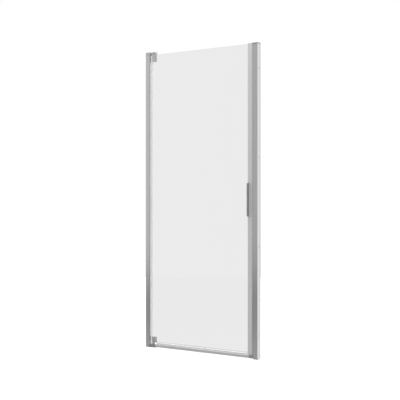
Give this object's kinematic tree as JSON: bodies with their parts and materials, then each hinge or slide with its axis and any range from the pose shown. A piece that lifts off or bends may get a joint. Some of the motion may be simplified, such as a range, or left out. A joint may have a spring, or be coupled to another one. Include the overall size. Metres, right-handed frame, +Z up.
{
  "type": "pivot shower door",
  "caption": "Clear glass shower door that pivots near one edge between two wall channels, with a magnetic closing profile, slim blade handles and a low threshold rail.",
  "frame": {"origin": "on the tray, midway between the two wall faces and in the middle plane of the glass", "axes": "+X along the opening, to the right seen from outside; +Y into the shower; +Z up"},
  "size_m": [0.9, 0.071, 2],
  "materials": {
    "bright_profile": "bright anodised extrusion with fine lines along its length",
    "cast_fittings": "satin plated casting",
    "bearing_block": "grey coated casting",
    "stainless_steel": "turned stainless steel",
    "bearing_plastic": "natural acetal",
    "moulded_caps": "grey moulded plastic",
    "clear_glass": "clear toughened glass with polished edges",
    "clear_seal": "clear extruded seal",
    "pale_seal": "pale translucent silicone",
    "magnet_strip": "pale grey magnetic strip",
    "soft_gasket": "grey soft gasket"
  },
  "bodies": {
    "frame": {"wall_channel_left": "bright_profile", "wall_channel_right": "bright_profile", "hinge_post": "bright_profile", "strike_post": "bright_profile", "strike_magnet": "magnet_strip", "channel_cap_right": "moulded_caps", "top_bracket": "cast_fittings", "channel_screws": "stainless_steel", "pinch_screw": "stainless_steel", "top_bush": "bearing_plastic", "bottom_bearing_block": "bearing_block", "bottom_pin": "stainless_steel", "adjusting_screws_left": "stainless_steel", "adjusting_screws_right": "stainless_steel", "threshold_rail": "bright_profile", "threshold_seal": "pale_seal", "threshold_end": "moulded_caps"},
    "door": {"glass_panel": "clear_glass", "top_clamp_body": "cast_fittings", "top_clamp_cover": "cast_fittings", "top_gasket_outer": "soft_gasket", "top_gasket_inner": "soft_gasket", "clamp_screws": "stainless_steel", "top_pin": "stainless_steel", "bottom_clamp_body": "cast_fittings", "bottom_clamp_cover": "cast_fittings", "bottom_gasket_outer": "soft_gasket", "bottom_gasket_inner": "soft_gasket", "bottom_bush": "bearing_plastic", "hinge_seal": "clear_seal", "drip_seal": "clear_seal", "closing_profile": "bright_profile", "closing_gasket": "soft_gasket", "door_magnet": "magnet_strip", "closing_cap_top": "moulded_caps", "closing_cap_bottom": "moulded_caps", "handle_outer": "bright_profile", "handle_inner": "bright_profile", "handle_screws": "stainless_steel"}
  },
  "joints": [
    {"name": "door_swing", "type": "hinge", "parent": "frame", "child": "door", "pos_m": [-0.395, 0, 0], "axis": [0, 0, -1], "range_deg": [0, 95]}
  ]
}
